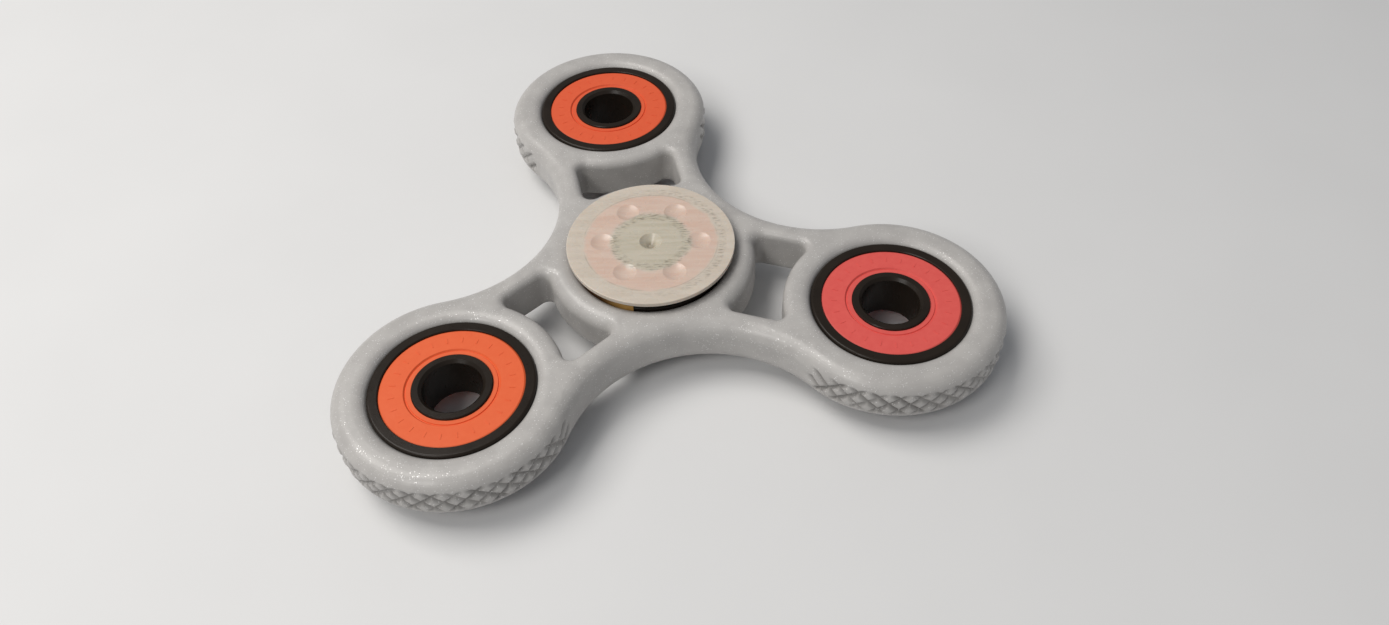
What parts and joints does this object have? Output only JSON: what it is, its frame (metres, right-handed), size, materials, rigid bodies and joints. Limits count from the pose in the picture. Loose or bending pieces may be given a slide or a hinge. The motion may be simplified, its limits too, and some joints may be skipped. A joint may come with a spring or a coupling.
{
  "type": "fidget spinner",
  "caption": "Three-lobed finger spinner: printed frame with knurled lobes, a rubber-sealed ball bearing in the hub and each lobe, and a round finger cap on each side of the hub.",
  "frame": {"origin": "on the hub bearing's axis, halfway through the thickness of the frame and bearings", "axes": "+Z along the hub axis, out of the top finger cap; +Y from the hub towards the back lobe; +X towards the right"},
  "size_m": [0.0918, 0.0837, 0.0114],
  "materials": {
    "frame_print": "silver-grey printed plastic with fine glitter, satin, with fine layer lines",
    "cap_print": "translucent natural printed plastic, pale cream, satin",
    "shim_film": "amber film tape, glossy",
    "black_steel": "black-oxide bearing steel, polished",
    "ball_steel": "polished bright steel",
    "cage_nylon": "dark brown moulded nylon",
    "plate_steel": "plain pressed steel",
    "seal_orange": "orange moulded rubber, satin",
    "seal_red": "red moulded rubber, satin"
  },
  "bodies": {
    "hub_core": {"finger_cap_top": "cap_print", "finger_cap_bottom": "cap_print", "hub_inner_ring": "black_steel"},
    "spinner": {"frame_body": "frame_print", "hub_shim": "shim_film", "hub_outer_ring": "black_steel", "hub_seal_plate_upper": "plate_steel", "hub_seal_plate_lower": "plate_steel", "hub_seal_upper": "seal_red", "hub_seal_lower": "seal_red", "back_outer_ring": "black_steel", "back_seal_plate_upper": "plate_steel", "back_seal_plate_lower": "plate_steel", "back_seal_upper": "seal_orange", "back_seal_lower": "seal_orange", "left_outer_ring": "black_steel", "left_seal_plate_upper": "plate_steel", "left_seal_plate_lower": "plate_steel", "left_seal_upper": "seal_orange", "left_seal_lower": "seal_orange", "right_outer_ring": "black_steel", "right_seal_plate_upper": "plate_steel", "right_seal_plate_lower": "plate_steel", "right_seal_upper": "seal_red", "right_seal_lower": "seal_red"},
    "hub_cage_set": {"hub_cage": "cage_nylon", "hub_balls": "ball_steel"},
    "back_core": {"back_inner_ring": "black_steel"},
    "back_cage_set": {"back_cage": "cage_nylon", "back_balls": "ball_steel"},
    "left_core": {"left_inner_ring": "black_steel"},
    "left_cage_set": {"left_cage": "cage_nylon", "left_balls": "ball_steel"},
    "right_core": {"right_inner_ring": "black_steel"},
    "right_cage_set": {"right_cage": "cage_nylon", "right_balls": "ball_steel"}
  },
  "joints": [
    {"name": "spinner_spin", "type": "hinge", "parent": "hub_core", "child": "spinner", "pos_m": [0, 0, 0], "axis": [0, 0, 1], "continuous": true},
    {"name": "hub_cage_spin", "type": "hinge", "parent": "hub_core", "child": "hub_cage_set", "pos_m": [0, 0, 0], "axis": [0, 0, 1], "continuous": true},
    {"name": "back_core_spin", "type": "hinge", "parent": "spinner", "child": "back_core", "pos_m": [0, 0.03464, 0], "axis": [0, 0, 1], "continuous": true},
    {"name": "back_cage_spin", "type": "hinge", "parent": "spinner", "child": "back_cage_set", "pos_m": [0, 0.03464, 0], "axis": [0, 0, 1], "continuous": true},
    {"name": "left_core_spin", "type": "hinge", "parent": "spinner", "child": "left_core", "pos_m": [-0.03, -0.01732, 0], "axis": [0, 0, 1], "continuous": true},
    {"name": "left_cage_spin", "type": "hinge", "parent": "spinner", "child": "left_cage_set", "pos_m": [-0.03, -0.01732, 0], "axis": [0, 0, 1], "continuous": true},
    {"name": "right_core_spin", "type": "hinge", "parent": "spinner", "child": "right_core", "pos_m": [0.03, -0.01732, 0], "axis": [0, 0, 1], "continuous": true},
    {"name": "right_cage_spin", "type": "hinge", "parent": "spinner", "child": "right_cage_set", "pos_m": [0.03, -0.01732, 0], "axis": [0, 0, 1], "continuous": true}
  ],
  "couplings": [
    {"joint": "hub_cage_spin", "follows": "spinner_spin", "ratio": 0.6323},
    {"joint": "back_cage_spin", "follows": "back_core_spin", "ratio": 0.3677},
    {"joint": "left_cage_spin", "follows": "left_core_spin", "ratio": 0.3677},
    {"joint": "right_cage_spin", "follows": "right_core_spin", "ratio": 0.3677}
  ]
}
